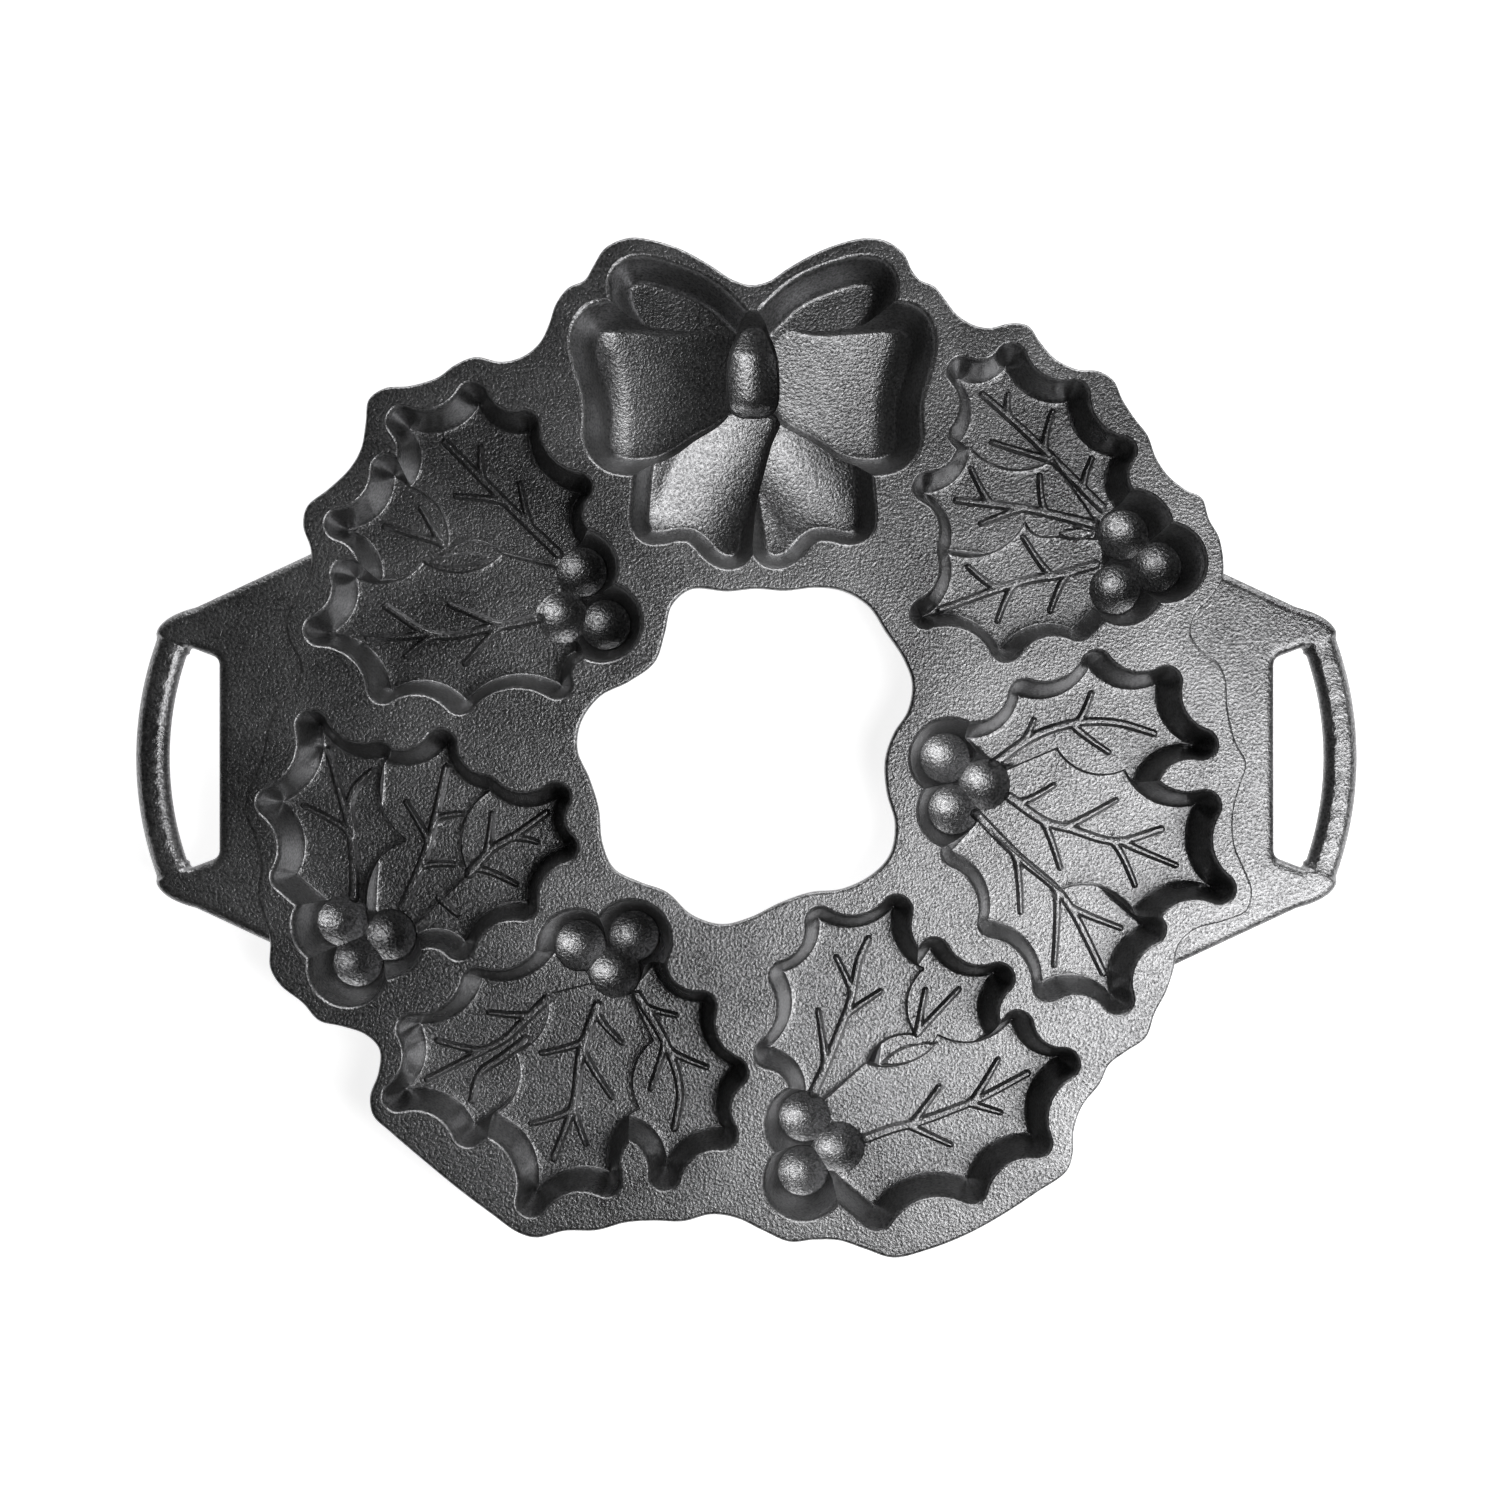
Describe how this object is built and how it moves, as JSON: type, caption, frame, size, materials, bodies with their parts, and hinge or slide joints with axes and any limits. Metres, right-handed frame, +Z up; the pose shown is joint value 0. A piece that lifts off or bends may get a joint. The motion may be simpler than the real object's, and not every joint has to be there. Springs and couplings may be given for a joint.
{
  "type": "cast iron wreath pan",
  "caption": "Cast iron baking pan shaped as a holly wreath, with a bow cup, holly leaf cups with berries, an open middle and a slotted grip on each side.",
  "frame": {"origin": "middle of the pan's box, on the surface that the pan stands on", "axes": "+X towards the right grip, +Y towards the bow, +Z up out of the cups"},
  "size_m": [0.385, 0.3197, 0.0294],
  "materials": {
    "seasoned_iron": "oil seasoned sand cast iron, fine pebbled grain, satin"
  },
  "bodies": {
    "root": {"ring_plate": "seasoned_iron", "bow_cup": "seasoned_iron", "holly_cup_top_right": "seasoned_iron", "holly_cup_right": "seasoned_iron", "holly_cup_bottom_right": "seasoned_iron", "holly_cup_bottom_left": "seasoned_iron", "holly_cup_left": "seasoned_iron", "holly_cup_top_left": "seasoned_iron", "right_handle_plate": "seasoned_iron", "right_grip": "seasoned_iron", "left_handle_plate": "seasoned_iron", "left_grip": "seasoned_iron"}
  },
  "joints": []
}
